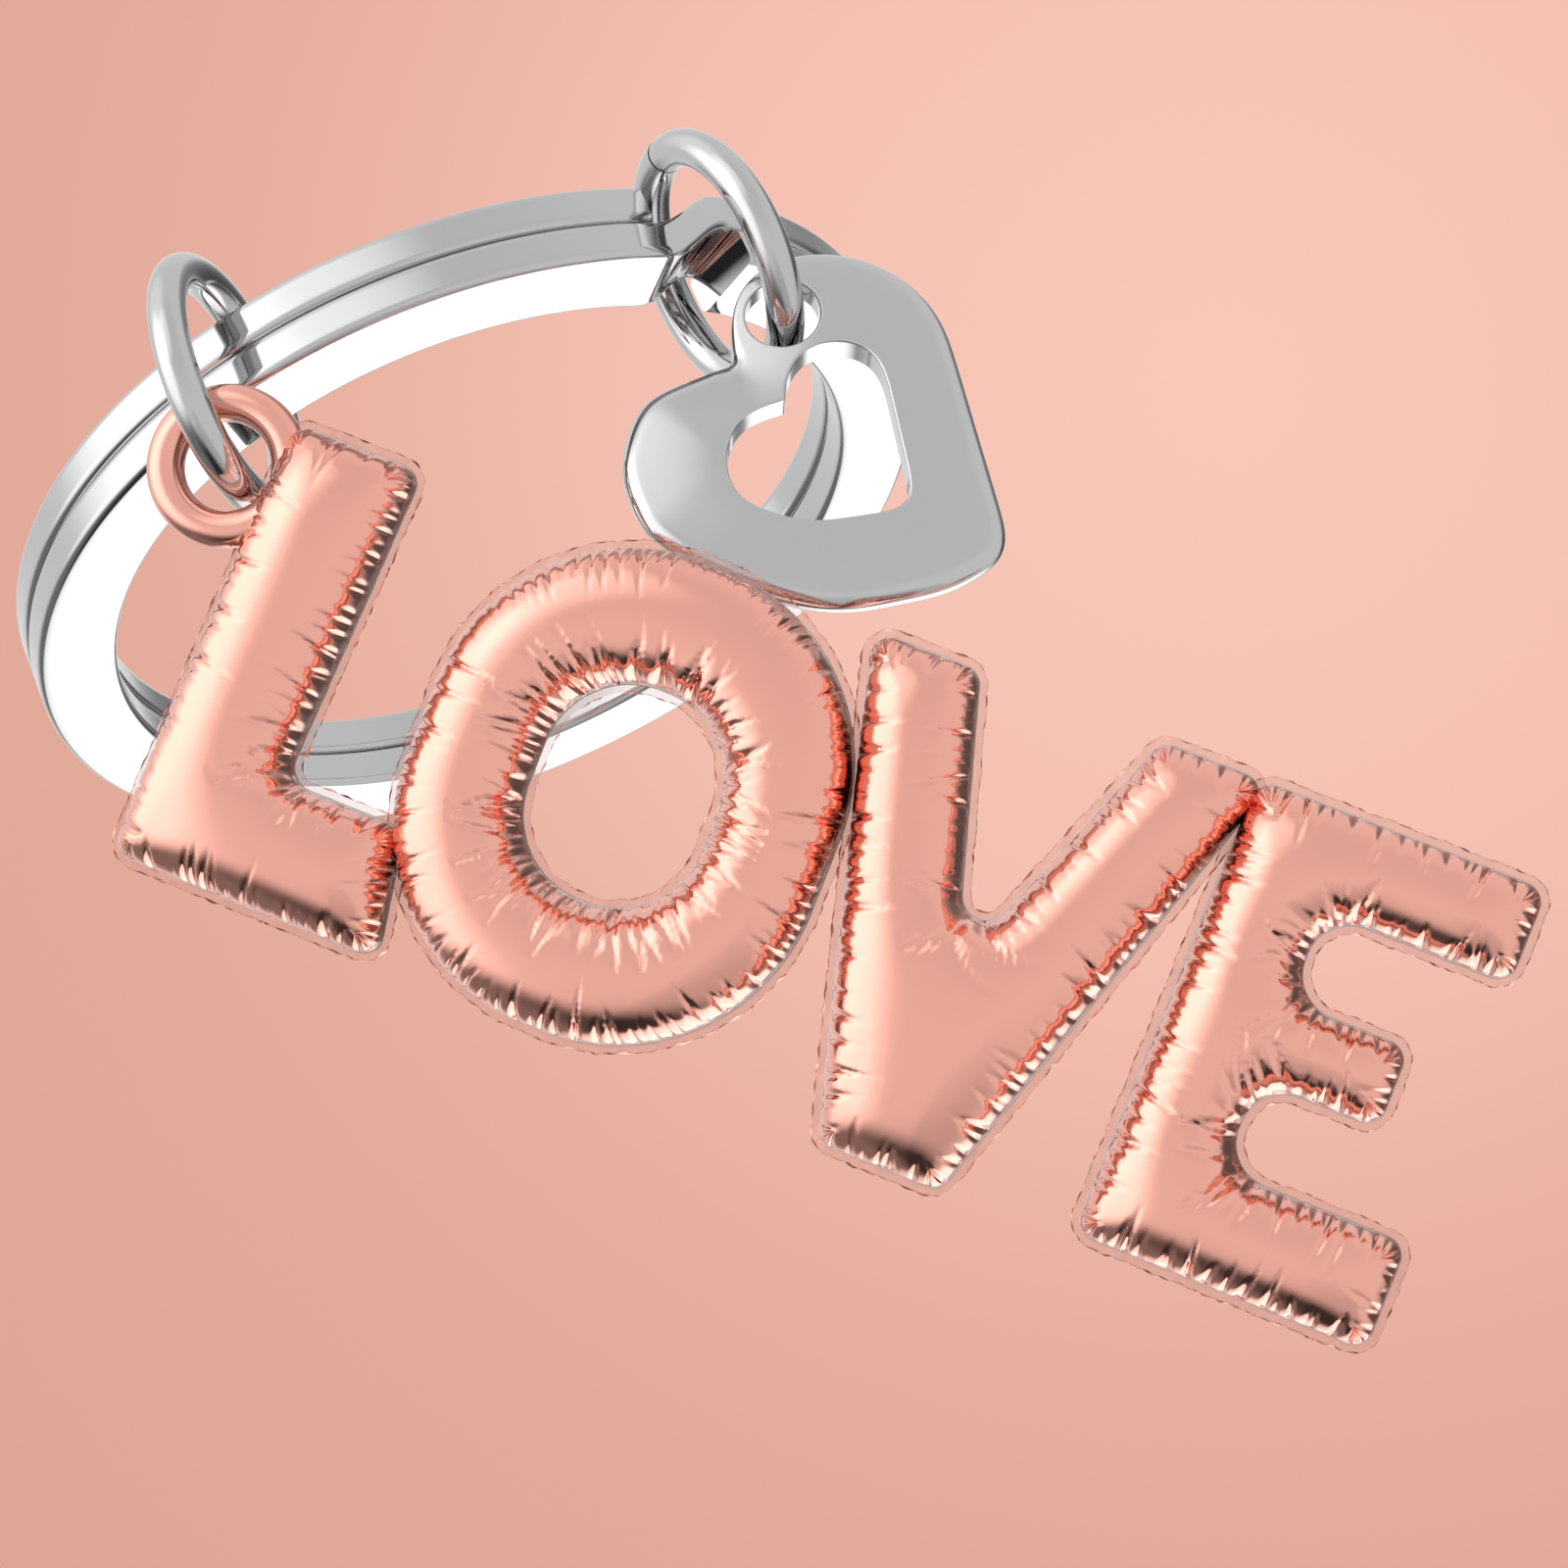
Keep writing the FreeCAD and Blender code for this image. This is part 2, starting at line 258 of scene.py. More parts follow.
def grid_faces(rows, columns, first=0, close_rows=False, close_columns=False):
    """Quads of a grid of points stored row by row, wrapped round where a way is closed."""
    r = np.arange(rows if close_rows else rows - 1)
    c = np.arange(columns if close_columns else columns - 1)
    r, c = np.meshgrid(r, c, indexing="ij")
    r2 = (r + 1) % rows
    c2 = (c + 1) % columns
    quads = np.stack([r * columns + c, r2 * columns + c, r2 * columns + c2, r * columns + c2], -1)
    return (quads.reshape(-1, 4) + first).tolist()


# ---------------------------------------------------------------- rings

def band_profile():
    """Bevelled rectangle of the flat wire, out and up from its middle, with each bevel softly rounded."""
    wide, tall, bevel = BAND_WIDTH / 2, COIL_HEIGHT / 2, BAND_BEVEL
    points = []
    for quarter in range(4):
        turn = quarter * np.pi / 2
        signs = np.sign([np.cos(turn + 0.1), np.sin(turn + 0.1)])
        centre = signs * (wide - bevel, tall - bevel)
        for share in np.linspace(0, 1, 5):
            angle = turn + share * np.pi / 2
            points.append(centre + bevel * np.array([np.cos(angle), np.sin(angle)]))
    points = np.array(points)
    supported = []
    for i in range(len(points)):
        here, ahead = points[i], points[(i + 1) % len(points)]
        supported.append(here)
        if np.linalg.norm(ahead - here) > bevel:
            for share in (0.06, 0.35, 0.65, 0.94):
                supported.append(here + (ahead - here) * share)
    return np.array(supported)


def split_ring(material):
    """The bevelled profile carried twice round a circle; it climbs one coil on half a cosine wave."""
    profile = band_profile()
    start, end = CROSSOVER
    degrees = np.arange(end, 720 + start + 1e-6, 0.75)
    layer = (COIL_HEIGHT + COIL_GAP) / 2
    climb = np.clip((degrees - 360 - start) / (end - start), 0, 1)
    rise = -layer * np.cos(np.pi * climb)
    angle = np.radians(degrees)[:, None]
    radius = RING_OUTER_RADIUS - BAND_WIDTH / 2 + profile[None, :, 0]
    x = radius * np.cos(angle)
    y = radius * np.sin(angle)
    z = profile[None, :, 1] + rise[:, None]
    points = np.stack([x, y, z], -1).reshape(-1, 3)
    faces = grid_faces(len(degrees), len(profile), close_columns=True)
    last = (len(degrees) - 1) * len(profile)
    faces.append(list(range(len(profile))))
    faces.append([last + i for i in reversed(range(len(profile)))])
    setting = ring_setting((0, 0, 0), RING_FACES, RING_ZERO)
    return mesh_piece("split_ring_polished", setting.place(points), faces, material, "key_ring_body",
                      ["split_ring"], sharp=CRISP_FROM)


def bent_wire(large, small, degrees):
    """Round wire on a circle: radius is large plus small times the cosine, height small times the sine."""
    turn = np.radians(np.linspace(0, degrees, WIRE_STEPS))[:, None]
    section = np.linspace(0, 2 * np.pi, WIRE_AROUND, endpoint=False)[None, :]
    radius = large + small * np.cos(section)
    ways = np.broadcast_arrays(radius * np.cos(turn), radius * np.sin(turn), small * np.sin(section))
    return np.stack(ways, -1).reshape(-1, 3)


def jump_ring(name, node, faces_way, slit_way, material, body):
    """Bent wire that stops short of a full turn, its two ends closed flat."""
    points = bent_wire(LINK_RADIUS, WIRE_RADIUS, 360 - SLIT_DEGREES)
    faces = grid_faces(WIRE_STEPS, WIRE_AROUND, close_columns=True)
    last = (WIRE_STEPS - 1) * WIRE_AROUND
    faces.append(list(range(WIRE_AROUND)))
    faces.append([last + i for i in reversed(range(WIRE_AROUND))])
    low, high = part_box(node)
    centre = np.array((low + high) / 2) / MM
    setting = ring_setting(centre, faces_way, slit_way)
    return mesh_piece(name, setting.place(points), faces, material, body, [node], sharp=CRISP_FROM)


# ---------------------------------------------------------------- outlines

def rounded(corners):
    """Closed outline through corners (x, y, radius): straight runs joined by arcs, at an even step."""
    runs = []
    count = len(corners)
    points = np.array([c[:2] for c in corners], float)
    for i in range(count):
        here, before, after = points[i], points[i - 1], points[(i + 1) % count]
        radius = corners[i][2]
        back, ahead = unit(before - here), unit(after - here)
        half = np.arccos(np.clip(back @ ahead, -1, 1)) / 2
        reach = radius / np.tan(half)
        centre = here + unit(back + ahead) * radius / np.sin(half)
        start, end = here + back * reach, here + ahead * reach
        first = np.arctan2(*(start - centre)[::-1])
        sweep = (np.arctan2(*(end - centre)[::-1]) - first + np.pi) % (2 * np.pi) - np.pi
        turn = first + sweep * np.linspace(0, 1, 200)
        runs.append(centre + radius * np.stack([np.cos(turn), np.sin(turn)], -1))
    return even(np.concatenate(runs))


def even(line):
    """The same closed line with its points at one even step along it."""
    closed = np.vstack([line, line[:1]])
    along = np.concatenate([[0], np.cumsum(np.linalg.norm(np.diff(closed, axis=0), axis=1))])
    steps = np.linspace(0, along[-1], int(along[-1] / OUTLINE_STEP), endpoint=False)
    return np.stack([np.interp(steps, along, closed[:, k]) for k in (0, 1)], -1)


def softened(line, notch):
    """The line evened out over about half a millimetre, except close to its notch."""
    soft = line
    for _ in range(SOFT_PASSES):
        soft = (np.roll(soft, 1, 0) + soft + np.roll(soft, -1, 0)) / 3
    keep = np.exp(-((line - notch) ** 2).sum(1) / NOTCH_KEPT)[:, None]
    return even(line * keep + soft * (1 - keep))


def area_of(line):
    """Area inside a closed line, below nought where it runs clockwise."""
    x, y = line.T
    return 0.5 * np.sum(x * np.roll(y, -1) - np.roll(x, -1) * y)


def turned(line, anticlockwise):
    """The line itself or its reverse, whichever runs the way asked for."""
    return line if (area_of(line) > 0) == anticlockwise else line[::-1]


def outward(line, passes=3):
    """Unit ways out of the material: to the right of the line, which keeps the material on its left."""
    along = np.roll(line, -1, 0) - np.roll(line, 1, 0)
    along /= np.linalg.norm(along, axis=1)[:, None]
    ways = np.stack([along[:, 1], -along[:, 0]], -1)
    for _ in range(passes):
        ways = ways + np.roll(ways, 1, 0) + np.roll(ways, -1, 0)
        ways /= np.linalg.norm(ways, axis=1)[:, None]
    return ways


def inside(points, loops):
    """True where a line to the left of a point crosses the loops an odd number of times."""
    hit = np.zeros(len(points), bool)
    for loop in loops:
        a, b = loop, np.roll(loop, -1, 0)
        for k in range(0, len(points), 4000):
            p = points[k:k + 4000]
            spans = (a[None, :, 1] > p[:, None, 1]) != (b[None, :, 1] > p[:, None, 1])
            rise = b[:, 1] - a[:, 1]
            rise = np.where(rise == 0, 1e-12, rise)
            cross = a[None, :, 0] + (p[:, None, 1] - a[None, :, 1]) * ((b - a)[:, 0] / rise)[None, :]
            hit[k:k + 4000] ^= (np.sum(spans & (cross < p[:, None, 0]), axis=1) % 2).astype(bool)
    return hit


def nearest(points, loops):
    """Distance of each point from the loops, and the running length of its nearest loop point."""
    joined = np.concatenate(loops)
    gap = np.empty(len(points))
    index = np.empty(len(points), int)
    for k in range(0, len(points), 3000):
        p = points[k:k + 3000]
        square = ((p[:, None, :] - joined[None, :, :]) ** 2).sum(-1)
        index[k:k + 3000] = square.argmin(1)
        gap[k:k + 3000] = np.sqrt(square.min(1))
    return gap, index * OUTLINE_STEP


def cap(rims, step):
    """Triangles between rims: an even grid of inner points joined to the rim points."""
    rim_points = np.concatenate(rims)
    low, high = rim_points.min(0), rim_points.max(0)
    x, y = np.meshgrid(np.arange(low[0], high[0], step), np.arange(low[1], high[1], step * 0.866))
    x = x + np.where(np.arange(len(x)) % 2, step / 2, 0)[:, None]
    inner = np.stack([x.ravel(), y.ravel()], -1)
    inner = inner[inside(inner, rims)]
    inner = inner[nearest(inner, rims)[0] > step * 0.6]
    points = np.concatenate([rim_points, inner]).astype(np.float32).astype(float)
    rim_of = np.full(len(points), -1)
    edges = []
    first = 0
    for number, rim in enumerate(rims):
        count = len(rim)
        edges += [(first + i, first + (i + 1) % count) for i in range(count)]
        rim_of[first:first + count] = number
        first += count
    result = delaunay_2d_cdt([Vector(p) for p in points], edges, [], 0, 1e-7, True)
    source = np.array([ids[0] if ids else -1 for ids in result[3]])
    triangles = source[np.array(result[2])]
    triangles = triangles[(triangles >= 0).all(1)]
    in_order = np.sort(triangles, axis=1)
    alone = rim_of[triangles]
    alone = (alone[:, 0] >= 0) & (alone == alone[:, :1]).all(1)
    triangles = triangles[~alone | (twice_area(points, in_order) > 0)]
    backward = twice_area(points, triangles) < 0
    triangles[backward] = triangles[backward][:, ::-1]
    return points, triangles, len(rim_points)


def twice_area(points, triangles):
    a, b, c = (points[triangles[:, k]] for k in range(3))
    return np.cross(b - a, c - a)


def cap_faces(triangles, bands, side, first, count):
    """A cap's triangles, joined to each band's first row in front (side 0) and to its last behind (side 1).

    Each band has its first point, its points to a row and its rows; the cap's own points start at first.
    """
    lookup = [start + side * (rows - 1) * columns + np.arange(columns) for start, columns, rows in bands]
    joined = np.concatenate(lookup + [first + np.arange(count)])[triangles]
    return (joined[:, ::-1] if side else joined).tolist()


# ---------------------------------------------------------------- puffed letters

def dome(loops):
    """Solves for the height of a film blown up from its rim: its curvature is even all over."""
    step = FILM_STEP
    joined = np.concatenate(loops)
    low, high = joined.min(0) - 2 * step, joined.max(0) + 2 * step
    x = np.arange(low[0], high[0], step)
    y = np.arange(low[1], high[1], step)
    gx, gy = np.meshgrid(x, y)
    mask = inside(np.stack([gx.ravel(), gy.ravel()], -1), loops).reshape(gx.shape)
    film = np.zeros(gx.shape)
    parity = (np.add.outer(np.arange(len(y)), np.arange(len(x))) % 2).astype(bool)
    for _ in range(FILM_ROUNDS):
        for colour in (parity, ~parity):
            around = np.zeros_like(film)
            around[1:-1, 1:-1] = film[2:, 1:-1] + film[:-2, 1:-1] + film[1:-1, 2:] + film[1:-1, :-2]
            target = (around + step * step) / 4
            film = np.where(mask & colour, film + FILM_OVERSTEP * (target - film), film)
    return x, y, film


def film_near(field, edge, way):
    """Film's height where the band meets the cap, and its rise there times the band's depth, both evened."""
    ahead = sample(field, edge - way * (BAND_DEPTH + FILM_REACH))
    here = sample(field, edge - way * BAND_DEPTH)
    behind = sample(field, edge - way * (BAND_DEPTH - FILM_REACH))
    found = []
    for line in (here, (ahead - behind) / (2 * FILM_REACH) * BAND_DEPTH):
        for _ in range(60):
            line = (np.roll(line, 1) + line + np.roll(line, -1)) / 3
        found.append(line)
    return found


def sample(field, points):
    """Field between its four nearest grid values, each weighted by nearness."""
    x, y, values = field
    u = np.clip((points[:, 0] - x[0]) / (x[1] - x[0]), 0, len(x) - 1.001)
    v = np.clip((points[:, 1] - y[0]) / (y[1] - y[0]), 0, len(y) - 1.001)
    i, j = u.astype(int), v.astype(int)
    u, v = u - i, v - j
    low = values[j, i] * (1 - u) + values[j, i + 1] * u
    high = values[j + 1, i] * (1 - u) + values[j + 1, i + 1] * u
    return low * (1 - v) + high * v


class Puckers:
    """Folds that run in from the seam: each has a place along it, a width, a length, a slant and a depth."""

    def __init__(self, total, bends):
        count = int(total / PUCKER_STEP)
        place = (np.arange(count) + draw.uniform(-PUCKER_SHIFT, PUCKER_SHIFT, count)) * total / count
        length = 0.50 + 0.62 * draw.gamma(2.0, 0.55, count)
        depth = draw.uniform(*PUCKER_DEPTH, count)
        width = draw.uniform(*PUCKER_WIDTH, count)
        for at, spread in bends:
            more = np.arange(at - spread, at + spread, BEND_STEP)
            place = np.concatenate([place, more + draw.uniform(-BEND_SHIFT, BEND_SHIFT, len(more))])
            length = np.concatenate([length, draw.uniform(*BEND_LENGTH, len(more))])
            depth = np.concatenate([depth, draw.uniform(*BEND_DEPTH, len(more))])
            width = np.concatenate([width, draw.uniform(*BEND_WIDTH, len(more))])
        self.total = total
        self.place, self.length, self.depth, self.width = place % total, length, depth, width
        self.slant = draw.uniform(-PUCKER_SLANT, PUCKER_SLANT, len(place))

    def fold(self, along, inward):
        """Sum of bell-shaped folds, each narrowing to a point and fading out at its own length."""
        result = np.zeros(len(along))
        for k in range(0, len(along), 4000):
            s, d = along[k:k + 4000, None], inward[k:k + 4000, None]
            gap = s + d * self.slant - self.place
            gap = (gap + self.total / 2) % self.total - self.total / 2
            fade = np.clip(1 - d / self.length, 0, 1)
            width = self.width * (0.3 + 0.7 * fade)
            result[k:k + 4000] = (self.depth * fade ** FOLD_FADE * np.exp(-(gap / width) ** 2)).sum(1)
        return result


class Side:
    """Front or back of a letter: its full height, its sign and its own puckers."""

    def __init__(self, full, sign, total, bends):
        self.full, self.sign = full, sign
        self.puckers = Puckers(total, bends)

    def height(self, film, along, inward):
        """A power of one less the falling exponential of the film's height, less the folds."""
        rise = self.full * PUFF_SHARE * (1 - np.exp(-np.maximum(film, 0) / FILM_FULL)) ** PUFF_POWER
        near = np.exp(-inward / FOLD_NEAR)
        fold = self.puckers.fold(along, inward) * (FOLD_SHARE + FOLD_SHARE_NEAR * near)
        puff = np.maximum(rise - fold * np.minimum(1, rise / FOLD_FULL_AT), LEAST_PUFF)
        return self.sign * (HALF_SEAM + puff)


def seam_band(field, edge, way, along, total, sides):
    """Rows of points from the front cap's rim, over the tip of the seam's thin skirt, to the back cap's."""
    base, rise_in = film_near(field, edge, way)
    halves = []
    for side in sides:
        half = []
        for depth in BAND_DEPTH * np.linspace(1, 0, BAND_ROWS) ** BAND_CROWDING:
            share = depth / BAND_DEPTH
            film = share * (2 * base - rise_in) + share ** 2 * (rise_in - base)
            z = side.height(film, along, np.full(len(along), depth))
            half.append(np.column_stack([edge - way * depth, z]))
        lift, spread = skirt_wave(along, total)
        for reach in SKIRT_REACHES:
            flat = edge + way * PILLOW_INSET * (reach * (1 + spread))[:, None]
            half.append(np.column_stack([flat, side.sign * HALF_SKIRT + lift * reach]))
        halves.append(half)
    tip = np.column_stack([edge + way * PILLOW_INSET * (1 + spread)[:, None], lift])
    return np.stack(halves[0] + [tip] + halves[1][::-1])


def puffed_letter(name, node, outer, holes, bends, setting, shift, finishes_and_shade):
    """Letter blown up from its seam: a band of rows along each outline, and front and back caps."""
    seams = [turned(outer, True)] + [turned(hole, False) for hole in holes]
    ways = [outward(seam) for seam in seams]
    pillow = [seam - way * PILLOW_INSET for seam, way in zip(seams, ways)]
    field = dome(pillow)
    total = sum(len(seam) for seam in seams) * OUTLINE_STEP
    sides = [Side(full, sign, total, bends) for full, sign in ((PUFF_FRONT, 1), (PUFF_BACK, -1))]
    points, faces, marks, bands, rims, offset, start = [], [], [], [], [], 0, 0.0
    for way, edge in zip(ways, pillow):
        count = len(edge)
        along = start + np.arange(count) * OUTLINE_STEP
        start += count * OUTLINE_STEP
        strips = seam_band(field, edge, way, along, total, sides)
        first = len(faces)
        # each run of rows takes its material; the creased rows beside the seam take the painted shade
        for number, tops in FINISH_AND_SHADE_ROWS:
            marks += [(first + top * count, first + (top + 1) * count, number) for top in tops]
        faces += grid_faces(len(strips), count, first=offset, close_columns=True)
        rims.append(edge - way * BAND_DEPTH)
        bands.append((offset, count, len(strips)))
        points.append(strips.reshape(-1, 3))
        offset += len(strips) * count
    flat, triangles, rim_count = cap(rims, CAP_STEP)
    inner = flat[rim_count:]
    gap, along = nearest(inner, pillow)
    film = sample(field, inner)
    for number, side in enumerate(sides):
        points.append(np.column_stack([inner, side.height(film, along, gap)]))
        faces += cap_faces(triangles, bands, number, offset, len(inner))
        offset += len(inner)
    points = np.concatenate(points)
    points[:, :2] += shift
    return mesh_piece(name, setting.place(points), faces, finishes_and_shade[0], "love_charm", [node],
                      (finishes_and_shade[1:], marks))


def skirt_wave(along, total):
    """Height and reach of the seam's frill: a few sine waves of odd lengths that close on themselves."""
    turns = 2 * np.pi * along / total
    lift = np.zeros(len(along))
    reach = np.zeros(len(along))
    for lift_size, reach_size, pace in SKIRT_WAVES:
        whole = max(1, round(total / pace))
        lift += lift_size * np.sin(whole * turns + draw.uniform(0, 6))
        reach += reach_size * np.sin(whole * turns + draw.uniform(0, 6))
    return lift, reach


def cornered(*corners):
    """Rounded outline through corners (x, y) or (x, y, radius); those without one are ordinary corners."""
    return rounded([corner if len(corner) == 3 else (*corner, SEAM_CORNER) for corner in corners])


def outline_l():
    top = LETTER_HEIGHT - L_TOP_DROP
    return cornered((0, 0), (L_WIDTH, 0), (L_FOOT_RIGHT, L_FOOT), (L_STEM, L_FOOT, CREASE_BEND),
                    (L_TOP_RIGHT, top), (L_LEAN, top))


def outline_v():
    top = LETTER_HEIGHT + TOP_RISE
    return cornered((V_FOOT_LEFT, -V_FOOT_DROP), (V_FOOT_RIGHT, -V_FOOT_DROP), (V_RIGHT, top),
                    (V_RIGHT_INNER, top), (V_NOTCH, V_NOTCH_HEIGHT, CREASE_BEND), (V_LEFT_INNER, top),
                    (V_LEFT, top))


def outline_e():
    top = LETTER_HEIGHT + TOP_RISE
    low, high, end = E_LOWER_SLOT, E_UPPER_SLOT, E_SLOT_END
    return cornered((E_LEFT, E_FOOT_RISE), (E_TIP, E_FOOT_RISE), (E_TIP, low), (E_STEM, low, end),
                    (E_STEM, low + E_SLOT, end), (E_MIDDLE_TIP, low + E_SLOT), (E_MIDDLE_TIP, high),
                    (E_STEM, high, end), (E_STEM, high + E_SLOT, end), (E_TIP, high + E_SLOT),
                    (E_TIP, top), (E_LEFT + E_LEAN, top))


def oval(half_width, half_height):
    """Upright oval of four large bends about the O's middle."""
    bend = OVAL_BEND * half_width
    left, right = O_MIDDLE - half_width, O_MIDDLE + half_width
    low, high = O_MIDDLE_HEIGHT - half_height, O_MIDDLE_HEIGHT + half_height
    return rounded([(left, low, bend), (right, low, bend), (right, high, bend), (left, high, bend)])


def place_along(loop, x, y):
    """Running length of the outline's point nearest to (x, y)."""
    loop = turned(loop, True)
    return np.argmin(((loop - (x, y)) ** 2).sum(1)) * OUTLINE_STEP


def letters(finishes_and_shade):
    """The four letters and their cast loop; each inner bend has its running length and spread."""
    setting = Setting(joint_place("love_charm_swing"), CHARM_READS, CHARM_UP)
    shift = CHARM_SHIFT - LOOP_FROM_LETTER
    outer_l, outer_v, outer_e = outline_l(), outline_v(), outline_e()
    outer_o, hole = oval(O_HALF_WIDTH, O_HALF_HEIGHT), oval(O_HOLE_HALF_WIDTH, O_HOLE_HALF_HEIGHT)
    bend_l = [(place_along(outer_l, *L_BEND), L_BEND_SPREAD)]
    all_round = [(len(outer_o) * OUTLINE_STEP + len(hole) * OUTLINE_STEP / 2,
                  len(hole) * OUTLINE_STEP / 2.1)]
    bend_v = [(place_along(outer_v, *V_BEND), V_BEND_SPREAD)]
    bends_e = [(place_along(outer_e, E_STEM, y), E_BEND_SPREAD) for y in E_BEND_HEIGHTS]
    for letter, outer, holes, bends in (
            ("l", outer_l, [], bend_l), ("o", outer_o, [hole], all_round),
            ("v", outer_v, [], bend_v), ("e", outer_e, [], bends_e)):
        puffed_letter(f"letter_{letter}_puffed", f"letter_{letter}", outer, holes, bends, setting, shift,
                      finishes_and_shade)
    points = bent_wire(LOOP_RADIUS, LOOP_WIRE_RADIUS, 360 - 360 / WIRE_STEPS)
    points[:, :2] += CHARM_SHIFT
    faces = grid_faces(WIRE_STEPS, WIRE_AROUND, close_rows=True, close_columns=True)
    mesh_piece("cast_loop", setting.place(points), faces, finishes_and_shade[0], "love_charm", ["charm_loop"])


# ---------------------------------------------------------------- heart tag

def heart_outlines():
    """Outer line, window and hole about the hole's middle; corners are (x, y, radius) from the notch on."""
    outer = rounded([
        (-1.60, -1.62, 0.25), (-1.78, 2.42, 2.70), (4.62, 2.42, 4.20), (7.20, -8.22, 1.10),
        (5.20, -9.47, 3.00), (1.60, -10.28, 5.00), (-2.00, -9.35, 5.00), (-4.50, -7.45, 2.20),
        (-5.28, -5.30, 2.20), (-4.60, -2.85, 1.60)])
    window = rounded([
        (0.05, -3.12, 0.15), (0.22, -1.12, 1.35), (3.00, -0.95, 1.25), (4.12, -6.85, 0.40),
        (0.70, -7.42, 2.00), (-1.50, -6.65, 0.70), (-1.95, -5.30, 1.00), (-1.50, -3.70, 0.70)])
    outer = softened(outer, outer[0])
    window = softened(window, window[0])
    turn = np.linspace(0, 2 * np.pi, 160, endpoint=False)
    hole = even(HOLE_RADIUS * np.stack([np.cos(turn), np.sin(turn)], -1))
    return turned(outer, True), turned(window, False), turned(hole, False)


def heart_tag(material):
    """Plate with quarter rounds carried along its outline, fine ones along the window and the hole.

    The rounds shrink where little plate is left between two outlines. The front falls by the square of the
    nearness to the outline.
    """
    half = HEART_THICKNESS / 2
    points, faces, bands, rims, offset = [], [], [], [], 0
    loops = heart_outlines()
    angle = np.linspace(0, np.pi / 2, 9)
    front = [(EDGE_RUN_IN, 0.0)] + [(1 - np.sin(a), 1 - np.cos(a)) for a in angle]
    for loop, edge in zip(loops, (HEART_EDGE, CUTOUT_EDGE, CUTOUT_EDGE)):
        way = outward(loop, 8)
        room = nearest(loop, [other for other in loops if other is not loop])[0]
        edge = np.clip((room - EDGE_WEB) * EDGE_WEB_SHARE, CUTOUT_EDGE, edge)
        rows = [(drop * edge, half - level * edge) for drop, level in front]
        rows += [(0 * edge, (half - edge) * part) for part in (0.33, -0.33)]
        rows += [(drop, -height) for drop, height in rows[len(front) - 1::-1]]
        strips = np.stack([np.column_stack([loop - way * drop[:, None], height]) for drop, height in rows])
        faces += grid_faces(len(rows), len(loop), first=offset, close_columns=True)
        rims.append(strips[0, :, :2])
        bands.append((offset, len(loop), len(rows)))
        points.append(strips.reshape(-1, 3))
        offset += len(rows) * len(loop)
    flat, triangles, rim_count = cap(rims, HEART_CAP_STEP)
    inner = flat[rim_count:]
    for side, height in enumerate((half, -half)):
        points.append(np.column_stack([inner, np.full(len(inner), height)]))
        faces += cap_faces(triangles, bands, side, offset, len(inner))
        offset += len(inner)
    points = np.concatenate(points)
    gap = nearest(points[:, :2], loops[:1])[0]
    drop = CROWN_DROP * np.clip(1 - gap / CROWN_REACH, 0, 1) ** 2
    points[:, 2] -= drop * (points[:, 2] + half) / HEART_THICKNESS
    points[:, :2] += HEART_SHIFT
    setting = Setting(joint_place("heart_charm_swing"), HEART_RIGHT, HEART_UP)
    return mesh_piece("heart_polished", setting.place(points), faces, material, "heart_charm", ["heart_tag"])


# ---------------------------------------------------------------- finishes

class Value:
    """A number inside a shader, which Python's operators join into Math nodes."""

    def __init__(self, tree, socket):
        self.tree = tree
        self.socket = socket

    def maths(self, operation, other, swapped=False):
        pair = [self, other]
        if swapped:
            pair.reverse()
        return self.tree.add("ShaderNodeMath", {"operation": operation}, {0: pair[0], 1: pair[1]})

    def __add__(self, other):
        return self.maths("ADD", other)

    def __radd__(self, other):
        return self.maths("ADD", other, True)

    def __sub__(self, other):
        return self.maths("SUBTRACT", other)

    def __rsub__(self, other):
        return self.maths("SUBTRACT", other, True)

    def __mul__(self, other):
        return self.maths("MULTIPLY", other)

    def __rmul__(self, other):
        return self.maths("MULTIPLY", other, True)


class Tree:
    """A shader's nodes: add makes one of any type from its settings and what goes into its sockets."""

    def __init__(self, owner):
        owner.use_nodes = True
        self.nodes = owner.node_tree.nodes
        self.links = owner.node_tree.links

    def add(self, kind, settings=None, sockets=None, out=0):
        node = self.nodes.new(kind)
        for key, value in (settings or {}).items():
            if key == "stops":
                self.set_stops(node.color_ramp, value)
            else:
                setattr(node, key, value)
        for key, value in (sockets or {}).items():
            self.feed(node.inputs[key], value)
        return Value(self, node.outputs[out]) if node.outputs else node

    def set_stops(self, ramp, stops):
        while len(ramp.elements) < len(stops):
            ramp.elements.new(1.0)
        for element, (place, colour) in zip(ramp.elements, stops):
            element.position = place
            element.color = (*colour, 1.0)

    def feed(self, socket, value):
        if isinstance(value, Value):
            self.links.new(value.socket, socket)
        else:
            socket.default_value = value


def polished_metal(name, colour, roughness, grain):
    """Bright metal with faint, fine unevenness in its polish."""
    material = bpy.data.materials.new(name)
    tree = Tree(material)
    shader = tree.nodes["Principled BSDF"]
    place = tree.add("ShaderNodeTexCoord", out=3)
    noise = tree.add("ShaderNodeTexNoise", {}, {"Vector": place, "Scale": 900.0, "Detail": 3.0})
    tree.feed(shader.inputs["Base Color"], (*colour, 1.0))
    tree.feed(shader.inputs["Metallic"], 1.0)
    tree.feed(shader.inputs["Roughness"], noise * grain + roughness)
    return material


def seam_film():
    """The seam's thin, half clear rose film."""
    material = bpy.data.materials.new("rose_film")
    tree = Tree(material)
    shader = tree.nodes["Principled BSDF"]
    tree.feed(shader.inputs["Base Color"], (0.80, 0.40, 0.31, 1.0))
    tree.feed(shader.inputs["Metallic"], 0.5)
    tree.feed(shader.inputs["Roughness"], 0.45)
    tree.feed(shader.inputs["Alpha"], 0.16)
    return material


